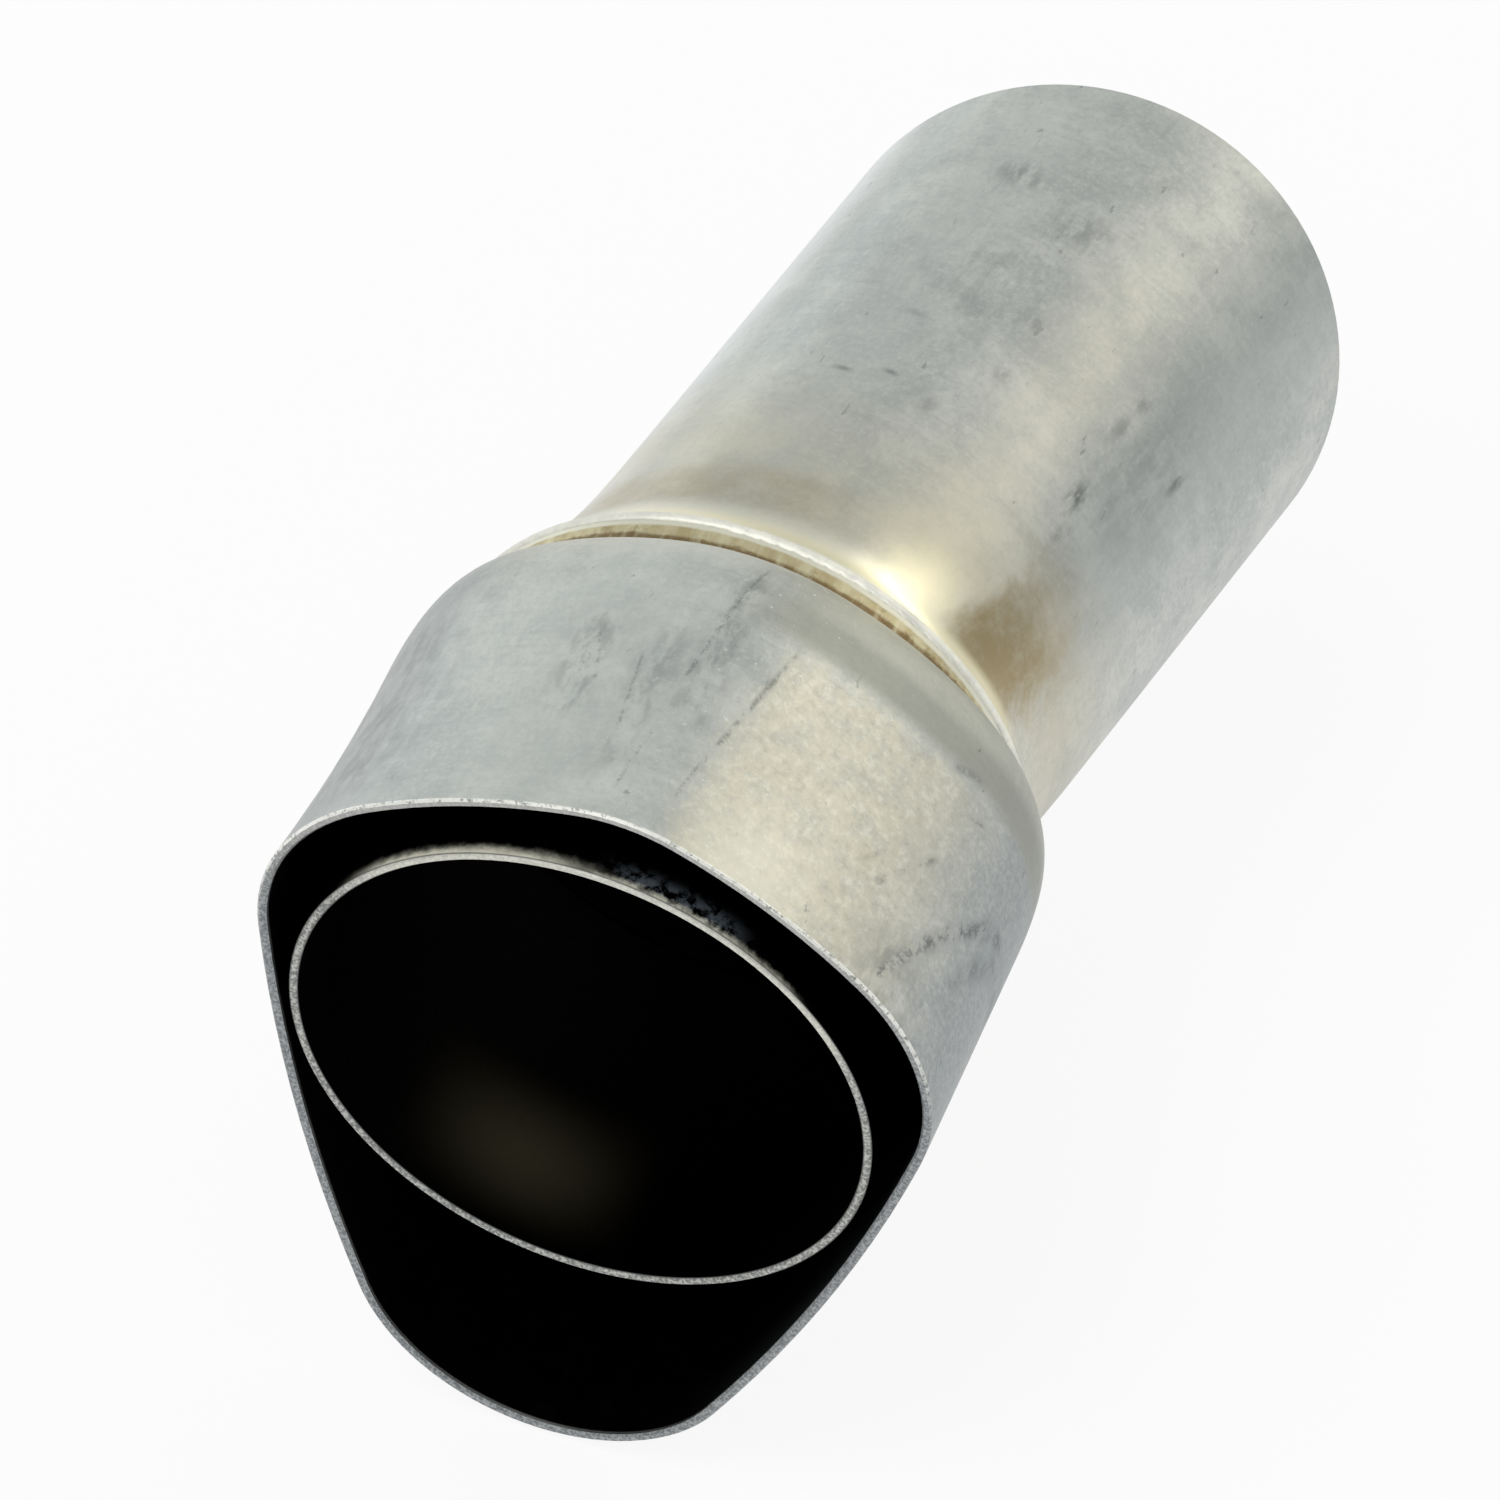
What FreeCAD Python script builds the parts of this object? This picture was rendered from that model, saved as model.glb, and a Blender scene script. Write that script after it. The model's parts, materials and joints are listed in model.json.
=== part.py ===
"""Exhaust noise damper: a bent insert with a slash-cut inlet tube and a shield-shaped outlet.

The inlet tube runs along +Y. The outlet tip turns off it by the bend angle and opens towards -Y.
Millimetres, +Z up. The origin lies on the axis of the inlet tube, in the middle of its straight run.
Four pieces are welded into one: the inlet tube with its flared lip, the inner outlet pipe, the
pressed outlet jacket round that pipe, and the weld seam between the jacket and the lip. The lip, the
jacket and the seam take their places from the pipe's diameter and the jacket's length.
"""
import FreeCAD, Part
import math
import os
import Sketcher

from FreeCAD import Vector

DRIVING_SIZES = {
    # Inlet tube
    "tube_diameter": 50.0,
    "tube_wall": 0.9,
    "inlet_length": 63.6,       # from the corner of the bend to the middle of the slash cut
    "slash_angle": 22.0,        # the cut leans this far from square
    "slash_clock": 26.0,        # the longest side of the cut, turned from the top towards +X
    "datum_distance": 36.5,     # from the corner of the bend to the origin
    # Flared lip at the end of the inlet tube
    "bend_angle": 11.3,
    "lip_proud": 0.65,          # how far the lip stands out round the inner outlet pipe
    "lip_thickness": 1.2,
    "lip_lean": 4.5,
    "lip_distance": 3.0,        # from the corner of the bend to the middle of the lip's front face
    "lip_round": 0.45,
    "flare_length": 20.0,
    # Inner outlet pipe
    "pipe_diameter": 55.5,
    "pipe_wall": 0.85,
    # Outlet jacket. Its mouth is a shield with four rounded corners: top, two sides and apex.
    "jacket_wall": 0.9,
    "mouth_top_room": 7.5,      # clear space between the pipe and the jacket, at the top
    "mouth_side_room": 3.35,
    "mouth_apex_room": 24.4,
    "mouth_top_radius": 16.9,
    "mouth_corner_radius": 22.3,
    "mouth_corner_rise": 8.25,  # the side corners' centres lie this far above the pipe's axis
    "mouth_apex_radius": 19.0,
    "mouth_upper_bow": 56.0,    # radius of the shallow arcs between the top and the side corners
    "mouth_lower_bow": 208.0,   # radius of the shallow arcs between the side corners and the apex
    "mouth_shift_side": 0.4,
    "mouth_clock": 6.9,
    "mouth_flare": 1.8,         # the mouth's -X corner stands out this far from the straight walls
    "jacket_length": 38.0,
    "shoulder_length": 13.0,
    "jacket_edge_lean": 1.5,
    "edge_break": 0.2,
    # Weld seam
    "seam_sink": 0.15,          # the weld lies this far below the lip's rim
    "seam_narrow": 0.11,        # width of the weld where the lip comes nearest to the jacket
}

# Where the flare's sections stand between the lip and the straight tube, as shares of its length.
FLARE_SHARES = (0.25, 0.5, 0.75)

# How fast the flare opens towards the lip: a higher power keeps the tube straight for longer.
FLARE_POWER = 4

# Angles along the shoulder's quarter round, in degrees, from the straight walls to the neck.
SHOULDER_STEPS = (8.0, 24.0, 42.0, 60.0, 77.0)

# How much of the mouth's form is left at the neck, which is a circle but for a tenth of a millimetre.
NECK_BLEND = 0.01

# Where the walls' sections stand between the mouth and the shoulder, as shares of the way.
WALL_SHARES = (0.0, 1.0 / 3.0, 2.0 / 3.0, 1.0)

doc = FreeCAD.newDocument("exhaust_noise_damper")


def fill_sheet():
    """Writes the driving sizes into the spreadsheet, one row each, and names their cells."""
    sheet = doc.addObject("Spreadsheet::Sheet", "Sizes")
    for row, (name, value) in enumerate(DRIVING_SIZES.items(), start=1):
        sheet.set(f"A{row}", name)
        sheet.set(f"B{row}", str(value))
        sheet.setAlias(f"B{row}", name)
    doc.recompute()
    return sheet


sizes = fill_sheet()


def origin_plane(body, role):
    """The plane of the body's own origin that has this role."""
    return [feature for feature in body.Origin.OriginFeatures if feature.Role == role][0]


def new_body(label, placement):
    """A body of its own for one piece, placed by an expression."""
    body = doc.addObject("PartDesign::Body", label)
    body.Label = label
    body.setExpression("Placement", placement)
    return body


def cross_section(body, name, along, turn="rotation(0; 0; 0)"):
    """A sketch square to the body's Y axis, at the distance along it, then turned in place.

    The sketch's x is the body's X and its y is the body's Z.
    """
    sketch = body.newObject("Sketcher::SketchObject", name)
    sketch.AttachmentSupport = (origin_plane(body, "XZ_Plane"), [""])
    sketch.MapMode = "FlatFace"
    sketch.setExpression("AttachmentOffset", f"placement({along}; {turn})")
    return sketch


def on_axis(distance):
    """The place of a cross-section at this distance along the body's Y axis."""
    return f"vector(0; 0; -({distance}))"


def evaluate(expression):
    """The number that an expression over the sheet gives now."""
    return float(sizes.evalExpression(expression.replace("Sizes.", "")))


def bind(sketch, constraint, name, expression):
    """Adds a constraint to the sketch, names it and ties its value to the sheet."""
    index = sketch.addConstraint(constraint)
    sketch.renameConstraint(index, name)
    sketch.setExpression(f"Constraints.{name}", expression)


def draw_circle(sketch, radius):
    """One circle about the sketch's origin, its radius an expression."""
    value = evaluate(radius)
    circle = sketch.addGeometry(Part.Circle(Vector(0, 0, 0), Vector(0, 0, 1), value), False)
    sketch.addConstraint(Sketcher.Constraint("Coincident", circle, 3, -1, 1))
    bind(sketch, Sketcher.Constraint("Radius", circle, value), "radius", radius)


def arc_about(centre, radius, start, end):
    """An arc of a circle in the sketch, between two angles in radians."""
    return Part.ArcOfCircle(Part.Circle(centre, Vector(0, 0, 1), radius), start, end)


def shallow_arc(first, first_radius, second, second_radius, radius):
    """Centre of the arc that touches two circles from outside, and its two angles of contact."""
    step = second - first
    first_reach, second_reach = radius - first_radius, radius - second_radius
    along = (first_reach ** 2 - second_reach ** 2 + step.Length ** 2) / (2 * step.Length)
    across = math.sqrt(first_reach ** 2 - along ** 2)
    unit = step / step.Length
    centre = first + unit * along + Vector(-unit.y, unit.x, 0) * across
    start, end = first - centre, second - centre
    return centre, math.atan2(start.y, start.x), math.atan2(end.y, end.x)


def draw_shield(sketch, places, radii):
    """Eight arcs that run into each other: four corners and the shallow arcs between them.

    Both dictionaries hold expressions. The form is the same on both sides of its own middle line.
    """
    side, half, rise = (evaluate(places[key]) for key in ("side", "half", "rise"))
    top, apex = evaluate(places["top"]), evaluate(places["apex"])
    size = {key: evaluate(value) for key, value in radii.items()}
    corners = (
        (Vector(side, -apex, 0), size["apex"], size["lower"]),
        (Vector(side + half, rise, 0), size["corner"], size["upper"]),
        (Vector(side, top, 0), size["top"], size["upper"]),
        (Vector(side - half, rise, 0), size["corner"], size["lower"]),
    )
    bows = []
    for number, (centre, radius, bow) in enumerate(corners):
        following = corners[(number + 1) % 4]
        bows.append(shallow_arc(centre, radius, following[0], following[1], bow) + (bow,))
    arcs = []
    for number, (centre, radius, bow) in enumerate(corners):
        start = bows[number - 1][2]
        end = bows[number][1]
        arcs.append(arc_about(centre, radius, start, start + (end - start) % (2 * math.pi)))
        bow_centre, bow_start, bow_end, bow_radius = bows[number]
        bow_end = bow_start + (bow_end - bow_start) % (2 * math.pi)
        arcs.append(arc_about(bow_centre, bow_radius, bow_start, bow_end))
    bottom, low_right, right, high_right, crown, high_left, left, low_left = [
        sketch.addGeometry(arc, False) for arc in arcs]
    ring = (bottom, low_right, right, high_right, crown, high_left, left, low_left)
    for number, arc in enumerate(ring):
        sketch.addConstraint(Sketcher.Constraint("Tangent", arc, 2, ring[(number + 1) % 8], 1))
    for first, second in ((right, left), (high_right, high_left), (low_right, low_left)):
        sketch.addConstraint(Sketcher.Constraint("Equal", first, second))
    for key, arc in (("apex", bottom), ("corner", right), ("top", crown),
                     ("upper", high_right), ("lower", low_right)):
        bind(sketch, Sketcher.Constraint("Radius", arc, size[key]), f"{key}_radius", radii[key])
    to_right = f"({places['side']}) + ({places['half']})"
    to_left = f"({places['half']}) - ({places['side']})"
    for name, ends, value, expression in (
        ("apex_x", (-1, 1, bottom, 3), side, places["side"]),
        ("top_x", (-1, 1, crown, 3), side, places["side"]),
        ("right_x", (-1, 1, right, 3), side + half, to_right),
        ("left_x", (left, 3, -1, 1), half - side, to_left),
    ):
        bind(sketch, Sketcher.Constraint("DistanceX", *ends, value), name, expression)
    for name, ends, value, expression in (
        ("apex_y", (bottom, 3, -1, 1), apex, places["apex"]),
        ("top_y", (-1, 1, crown, 3), top, places["top"]),
        ("right_y", (-1, 1, right, 3), rise, places["rise"]),
        ("left_y", (-1, 1, left, 3), rise, places["rise"]),
    ):
        bind(sketch, Sketcher.Constraint("DistanceY", *ends, value), name, expression)


def loft(body, kind, name, sections):
    """A smooth loft through the sketches, added to the body or taken from it."""
    feature = body.newObject(f"PartDesign::{kind}", name)
    feature.Profile = sections[0]
    feature.Sections = sections[1:]
    return feature


def extrude(body, kind, name, sketch, length, backwards=False):
    """A pad or a pocket of the sketch; a pad runs towards -Y and a pocket towards +Y unless turned."""
    feature = body.newObject(f"PartDesign::{kind}", name)
    feature.Profile = sketch
    feature.setExpression("Length", length)
    feature.Reversed = backwards
    return feature


# Places of the pieces. The tip's own frame has its origin in the middle of the mouth.
TUBE_PLACE = "placement(vector(0; -Sizes.datum_distance; 0); rotation(0; 0; 0))"
LIP_BACK = "(Sizes.lip_distance + Sizes.lip_thickness)"
PIPE_RADIUS = "(Sizes.pipe_diameter / 2)"
PIPE_BORE = "(Sizes.pipe_diameter / 2 - Sizes.pipe_wall)"
LIP_RADIUS = "(Sizes.pipe_diameter / 2 + Sizes.lip_proud)"
SEAM_RADIUS = f"({LIP_RADIUS} - Sizes.seam_sink)"
SEAM_WIDTH = (
    f"(Sizes.seam_narrow + {SEAM_RADIUS}"
    " * (tan(Sizes.lip_lean * 1 deg) - tan(Sizes.jacket_edge_lean * 1 deg)))")
LIP_FRONT = f"(Sizes.jacket_length + {SEAM_WIDTH})"
TIP_LENGTH = f"({LIP_FRONT} + Sizes.lip_thickness / cos(Sizes.lip_lean * 1 deg) - {LIP_BACK})"
MOUTH_CENTRE = (
    f"vector({TIP_LENGTH} * sin(Sizes.bend_angle * 1 deg); "
    f"-Sizes.datum_distance - {TIP_LENGTH} * cos(Sizes.bend_angle * 1 deg); 0)")
TIP_PLACE = f"placement({MOUTH_CENTRE}; rotation(Sizes.bend_angle; 0; 0))"
JACKET_PLACE = f"placement({MOUTH_CENTRE}; rotation(Sizes.bend_angle; Sizes.mouth_clock; 0))"


def build_inlet_tube():
    """The slash-cut tube, its flare and the rounded lip that the outlet is welded to."""
    body = new_body("inlet_tube", TUBE_PLACE)
    lip_turn = "rotation(0; Sizes.bend_angle; -Sizes.lip_lean)"

    lip_side = f"{LIP_BACK} * sin(Sizes.bend_angle * 1 deg)"
    lip_along = f"{LIP_BACK} * cos(Sizes.bend_angle * 1 deg)"
    lip_place = f"vector(-{lip_side}; 0; -{lip_along})"
    flare_end = f"({lip_along} + Sizes.flare_length)"

    def stations(prefix, lip_radius, tube_radius):
        """Circles from the lip to the straight tube, each turned part of the way round the bend."""
        rings = []
        for number, share in enumerate((0.0,) + FLARE_SHARES + (1.0,)):
            left = 1.0 - share
            ring = cross_section(
                body, f"{prefix}_flare{number}",
                f"vector(-{left ** 2} * {lip_side}; 0; -({lip_along} + {share} * Sizes.flare_length))",
                f"rotation(0; {left} * Sizes.bend_angle; -{left} * Sizes.lip_lean)")
            growth = left ** FLARE_POWER
            draw_circle(ring, f"{tube_radius} + {growth} * ({lip_radius} - {tube_radius})")
            rings.append(ring)
        return rings

    tube_radius = "(Sizes.tube_diameter / 2)"
    outside = stations("outside", f"({LIP_RADIUS} - 2 * Sizes.lip_round)", tube_radius)
    loft(body, "AdditiveLoft", "flare_outside", outside)

    straight = cross_section(body, "straight_outside", on_axis(flare_end))
    draw_circle(straight, tube_radius)
    run = "Sizes.inlet_length + Sizes.tube_diameter - Sizes.flare_length"
    extrude(body, "Pad", "straight_run", straight, run, backwards=True)

    lip = cross_section(body, "lip_outline", lip_place, lip_turn)
    draw_circle(lip, LIP_RADIUS)
    lip_pad = extrude(body, "Pad", "lip", lip, "Sizes.lip_thickness")
    doc.recompute()
    rims = [f"Edge{number}" for number, edge in enumerate(lip_pad.Shape.Edges, start=1)
            if is_circle(edge, evaluate(LIP_RADIUS))]
    rounding = body.newObject("PartDesign::Fillet", "lip_rounding")
    rounding.Base = (lip_pad, rims)
    rounding.setExpression("Radius", "Sizes.lip_round")
    doc.recompute()

    inside = stations("inside", PIPE_BORE, "(Sizes.tube_diameter / 2 - Sizes.tube_wall)")
    loft(body, "SubtractiveLoft", "flare_inside", inside)
    lip_hole = cross_section(body, "lip_hole", lip_place, lip_turn)
    draw_circle(lip_hole, PIPE_BORE)
    extrude(body, "Pocket", "lip_bore", lip_hole, "2 * Sizes.lip_thickness", backwards=True)
    bore = cross_section(body, "straight_bore", on_axis(flare_end))
    draw_circle(bore, "Sizes.tube_diameter / 2 - Sizes.tube_wall")
    extrude(body, "Pocket", "bore", bore, f"{run} + Sizes.tube_diameter")

    slash = cross_section(body, "slash_outline", on_axis("Sizes.inlet_length"),
                          "rotation(-Sizes.slash_clock; 0; -Sizes.slash_angle)")
    draw_circle(slash, "Sizes.tube_diameter")
    extrude(body, "Pocket", "slash_cut", slash, "3 * Sizes.tube_diameter")
    return body


def is_circle(edge, radius):
    """True for a full circle of this radius."""
    curve = edge.Curve
    return isinstance(curve, Part.Circle) and abs(curve.Radius - radius) < 1e-6


def break_mouth_edges(body, feature):
    """Chamfers every edge of the mouth, which lies in the body's own XZ plane."""
    doc.recompute()
    rims = [f"Edge{number}" for number, edge in enumerate(feature.Shape.Edges, start=1)
            if max(abs(edge.BoundBox.YMin), abs(edge.BoundBox.YMax)) < 1e-4]
    chamfer = body.newObject("PartDesign::Chamfer", f"{feature.Name}_edge_break")
    chamfer.Base = (feature, rims)
    chamfer.setExpression("Size", "Sizes.edge_break")


def build_inner_pipe():
    """The round outlet pipe, from the mouth to the front face of the lip."""
    body = new_body("inner_outlet_pipe", TIP_PLACE)
    outline = cross_section(body, "pipe_outline", on_axis("0"))
    draw_circle(outline, PIPE_RADIUS)
    extrude(body, "Pad", "pipe", outline, f"{LIP_FRONT} + Sizes.pipe_diameter / 2", backwards=True)
    hole = cross_section(body, "pipe_hole", on_axis("0"))
    draw_circle(hole, PIPE_BORE)
    extrude(body, "Pocket", "pipe_bore", hole, f"{LIP_FRONT} + Sizes.pipe_diameter")
    end = cross_section(body, "pipe_end", on_axis(LIP_FRONT), "rotation(0; 0; -Sizes.lip_lean)")
    draw_circle(end, "Sizes.pipe_diameter")
    cut = extrude(body, "Pocket", "pipe_end_cut", end, "2 * Sizes.pipe_diameter")
    break_mouth_edges(body, cut)
    return body


def build_jacket():
    """The pressed jacket: shield-shaped walls, a round shoulder and a neck that grips the pipe."""
    body = new_body("outlet_jacket", JACKET_PLACE)
    neck = f"({PIPE_RADIUS} + Sizes.jacket_wall)"
    straight = "(Sizes.jacket_length - Sizes.shoulder_length)"
    radii = {
        "apex": "Sizes.mouth_apex_radius",
        "corner": "Sizes.mouth_corner_radius",
        "top": "Sizes.mouth_top_radius",
        "upper": "Sizes.mouth_upper_bow",
        "lower": "Sizes.mouth_lower_bow",
    }

    def shield(name, place, blend, inset, spread=0.0, turn="rotation(0; 0; 0)"):
        """A section between the neck's circle at blend 0 and the full shield at blend 1.

        Spread is 1 at the mouth, where the -X corner flares, and 0 from the shoulder on.
        """
        tuck = f"{0.5 * (1.0 - spread)} * Sizes.mouth_flare"
        places = {
            "side": f"{blend} * (Sizes.mouth_shift_side + {tuck})",
            "half": f"{blend} * ({neck} + Sizes.mouth_side_room - Sizes.mouth_corner_radius - {tuck})",
            "rise": f"{blend} * Sizes.mouth_corner_rise",
            "top": f"{blend} * ({neck} + Sizes.mouth_top_room - Sizes.mouth_top_radius)",
            "apex": f"{blend} * ({neck} + Sizes.mouth_apex_room - Sizes.mouth_apex_radius)",
        }
        mixed = {key: f"{neck} + {blend} * ({value} - {neck}) - {inset}" for key, value in radii.items()}
        sketch = cross_section(body, name, place, turn)
        draw_shield(sketch, places, mixed)
        return sketch

    def mouth_edge(prefix, at_mouth, behind):
        """The broken edge of the mouth, from one inset to the other."""
        return [
            shield(f"{prefix}_mouth", on_axis("0"), 1.0, at_mouth, spread=1.0),
            shield(f"{prefix}_break", on_axis("Sizes.edge_break"), 1.0, behind, spread=1.0)]

    def walls(prefix, inset):
        """Sections of the walls, which run straight but for the flare at the mouth."""
        run = f"({straight} - {inset} - Sizes.edge_break)"
        return [
            shield(f"{prefix}_wall{number}", on_axis(f"Sizes.edge_break + {share} * {run}"), 1.0, inset,
                   spread=(1.0 - share) ** 2)
            for number, share in enumerate(WALL_SHARES)]

    def shoulder(prefix, inset):
        """Sections of the quarter round, set in and forward by the inset, and the neck."""
        sections = [shield(f"{prefix}_start", on_axis(f"{straight} - {inset}"), 1.0, inset)]
        for number, angle in enumerate(SHOULDER_STEPS):
            rise = math.sin(math.radians(angle))
            blend = math.cos(math.radians(angle))
            along = f"{straight} + {rise} * Sizes.shoulder_length - {inset}"
            sections.append(shield(f"{prefix}_round{number}", on_axis(along), blend, inset))
        sections.append(shield(
            f"{prefix}_neck", on_axis(f"Sizes.jacket_length - {inset}"), NECK_BLEND, f"2 * {inset}",
            turn="rotation(0; 0; -Sizes.jacket_edge_lean)"))
        return sections

    loft(body, "AdditiveLoft", "mouth_edge_outside", mouth_edge("outer", "Sizes.edge_break", "0"))
    loft(body, "AdditiveLoft", "walls_outside", walls("outer", "0"))
    loft(body, "AdditiveLoft", "shoulder_outside", shoulder("outer", "0"))
    grip = cross_section(body, "grip_outline", on_axis("0"))
    draw_circle(grip, PIPE_RADIUS)
    extrude(body, "Pocket", "grip", grip, "Sizes.jacket_length + Sizes.pipe_diameter")
    loft(body, "SubtractiveLoft", "mouth_edge_inside",
         mouth_edge("inner", "(Sizes.jacket_wall - Sizes.edge_break)", "Sizes.jacket_wall"))
    loft(body, "SubtractiveLoft", "walls_inside", walls("inner", "Sizes.jacket_wall"))
    loft(body, "SubtractiveLoft", "shoulder_inside", shoulder("inner", "Sizes.jacket_wall"))
    return body


def build_seam():
    """The weld round the pipe, a wedge that fills the gap between the jacket's edge and the lip."""
    body = new_body("weld_seam", TIP_PLACE)
    front = cross_section(body, "seam_front", on_axis("Sizes.jacket_length"),
                          "rotation(-Sizes.mouth_clock; 0; -Sizes.jacket_edge_lean)")
    draw_circle(front, SEAM_RADIUS)
    back = cross_section(body, "seam_back", on_axis(LIP_FRONT), "rotation(0; 0; -Sizes.lip_lean)")
    draw_circle(back, SEAM_RADIUS)
    loft(body, "AdditiveLoft", "seam", [front, back])
    hole = cross_section(body, "seam_hole", on_axis("Sizes.jacket_length - Sizes.pipe_diameter / 2"))
    draw_circle(hole, PIPE_RADIUS)
    extrude(body, "Pocket", "seam_bore", hole, "2 * Sizes.pipe_diameter")
    return body


pieces = [build_inlet_tube(), build_inner_pipe(), build_jacket(), build_seam()]
doc.recompute()

for item in doc.Objects:
    if {"Invalid", "Error"} & set(item.State):
        raise RuntimeError(f"{item.Name} did not build: {item.State}")
for piece in pieces:
    shape = piece.Shape
    if shape.isNull() or not shape.isValid() or len(shape.Solids) != 1:
        raise RuntimeError(f"{piece.Label} has no single valid solid")
    print(f"{piece.Label}: {shape.Volume:.1f} mm3, {len(shape.Faces)} faces")

os.makedirs("parts", exist_ok=True)
for piece in pieces:
    piece.Shape.exportStep(f"parts/{piece.Label}.step")
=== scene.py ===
"""Looks of the exhaust noise damper: camera, studio and the scuffed steel of its four pieces, with some
light and shade painted into its colour.

Lengths are millimetres in the frame of the part, where +Y runs along the inlet tube to its free end,
+Z is up and the origin is on the tube's axis. The scene itself is in metres.
"""

import json
import math
from types import SimpleNamespace

import bpy
from mathutils import Matrix, Vector

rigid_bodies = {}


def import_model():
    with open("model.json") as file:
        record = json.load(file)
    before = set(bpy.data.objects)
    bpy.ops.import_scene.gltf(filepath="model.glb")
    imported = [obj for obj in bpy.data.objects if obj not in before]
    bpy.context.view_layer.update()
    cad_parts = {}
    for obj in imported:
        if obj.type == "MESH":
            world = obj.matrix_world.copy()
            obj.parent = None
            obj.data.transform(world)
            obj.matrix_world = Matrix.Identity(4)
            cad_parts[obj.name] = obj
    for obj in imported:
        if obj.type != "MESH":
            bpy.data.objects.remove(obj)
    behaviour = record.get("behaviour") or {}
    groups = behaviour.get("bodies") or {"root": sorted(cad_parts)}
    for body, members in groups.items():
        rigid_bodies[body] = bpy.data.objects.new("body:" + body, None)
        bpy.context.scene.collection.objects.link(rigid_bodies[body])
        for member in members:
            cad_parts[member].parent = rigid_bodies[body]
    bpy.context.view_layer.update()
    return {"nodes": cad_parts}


MM = 0.001

# Real sizes of the part, in millimetres and degrees, as in the solids
BEND_ANGLE = 11.3
DATUM_DISTANCE = 36.5
TIP_LENGTH = 36.6
TUBE_RADIUS = 25.0
PIPE_RADIUS = 27.75
SEAM_START = 38.0
LIP_START = 39.6
LIP_LEAN = math.radians(4.5)
EDGE_LEAN = math.radians(1.5)

# Camera
CAMERA_AZIMUTH = 31.364
CAMERA_HEIGHT = 48.905
CAMERA_DISTANCE = 1359.476
CAMERA_SIDE = 2.732
CAMERA_UP = 2.859
LENS = 360.0
SENSOR = 36.0

# Studio. A lamp has a direction from its aim, a distance, a size, how bright its face looks and a colour.
FLOOR_HEIGHT = -53.4
FLOOR_HALF = 4000.0
FLOOR_GLOW = 0.88
ROOM_LIGHT = 0.69
LAMP_AIM = Vector((2.0, -20.0, 0.0))
LAMPS = (
    ("top", (-0.15, -0.35, 0.92), 1100.0, (600.0, 600.0), 3.6, (1.0, 1.0, 1.0)),
    ("window", (0.42, 0.74, 0.52), 950.0, (400.0, 400.0), 0.8, (1.0, 0.95, 0.82)),
    ("low", (0.17, 0.955, 0.23), 900.0, (120.0, 470.0), 3.2, (1.0, 0.97, 0.86)),
    ("left", (-0.88, 0.44, 0.05), 900.0, (420.0, 300.0), 0.7, (0.9, 0.97, 1.0)),
)

BEND = math.radians(BEND_ANGLE)
CORNER = Vector((0.0, -DATUM_DISTANCE, 0.0))
TIP_AXIS = Vector((-math.sin(BEND), math.cos(BEND), 0.0))
TIP_SIDE = Vector((math.cos(BEND), math.sin(BEND), 0.0))
MOUTH = CORNER - TIP_LENGTH * TIP_AXIS
JACKET_CENTRE = MOUTH + 0.6 * TIP_SIDE + Vector((0.0, 0.0, -10.0))

# Where the lamps' glare runs along the tube, as an angle about its axis from +X towards the top
GLARE_ANGLE = math.radians(60.0)

# A scratch fades over this share of its length at each end
STROKE_FADE = 0.12

# Patches on the tube: degrees about it, mm along it, half width in degrees, half length in mm, strength
TUBE_SMUDGES = (
    (44.5, -3.6, 3.6, 3.2, 1.5),
    (41.5, -8.0, 3.0, 2.8, 1.2),
    (28.0, 7.0, 2.6, 2.8, 1.3),
    (46.4, 5.4, 4.0, 2.4, 0.8),
    (46.0, 9.2, 3.6, 2.2, 0.8),
    (82.0, -6.5, 3.6, 1.8, 0.8),
    (73.4, 0.8, 4.0, 1.6, 0.7),
    (74.9, 7.5, 4.0, 1.6, 0.7),
    (98.5, 22.4, 10.0, 2.6, 0.9),
    (79.0, 19.4, 10.0, 3.6, 0.8),
    (90.0, 9.0, 30.0, 9.0, 0.4),
    (36.0, 4.0, 20.0, 14.0, 0.4),
    (190.0, 8.0, 30.0, 9.0, 0.7),
    (-70.0, 12.0, 34.0, 12.0, 0.7),
)
TUBE_SCORES = (
    (102.2, -6.4, 3.4, 0.5, 1.0),
    (92.4, -5.0, 2.8, 0.5, 1.0),
    (97.0, 2.6, 5.0, 0.6, 0.4),
)

# Scratches on the jacket's upper side: start and end, each mm across and mm from the mouth, then the
# width in mm and the strength
JACKET_SCRATCHES = (
    ((5.9, 35.0), (3.6, 16.5), 0.55, 1.0),
    ((11.9, 27.0), (7.2, 3.5), 0.45, 1.0),
    ((-1.0, 20.5), (0.2, 9.0), 0.4, 0.8),
    ((-5.9, 22.5), (-4.0, 15.5), 0.45, 0.9),
    ((3.2, 12.0), (2.2, 3.0), 0.4, 0.8),
    ((24.2, 9.5), (27.8, 17.2), 0.5, 0.9),
    ((22.6, 10.5), (25.6, 16.5), 0.4, 0.6),
    ((28.4, 23.2), (30.6, 24.4), 0.5, 0.9),
    ((25.0, 25.8), (28.4, 27.6), 0.8, 0.7),
    ((27.0, 1.5), (30.0, 10.8), 0.9, 1.3),
    ((29.7, 10.1), (33.3, 19.6), 0.8, 1.3),
    ((31.6, 8.0), (33.4, 18.0), 0.6, 0.9),
)

# Scratches low on its right side, the same way but with the height in place of the mm across
LOW_SCRATCHES = (
    ((-34.0, 6.0), (-20.0, 12.5), 0.45, 1.0),
    ((-11.0, 21.0), (-19.0, 10.0), 0.4, 1.0),
    ((-42.0, 19.0), (-36.0, 26.0), 0.4, 1.0),
)

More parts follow.
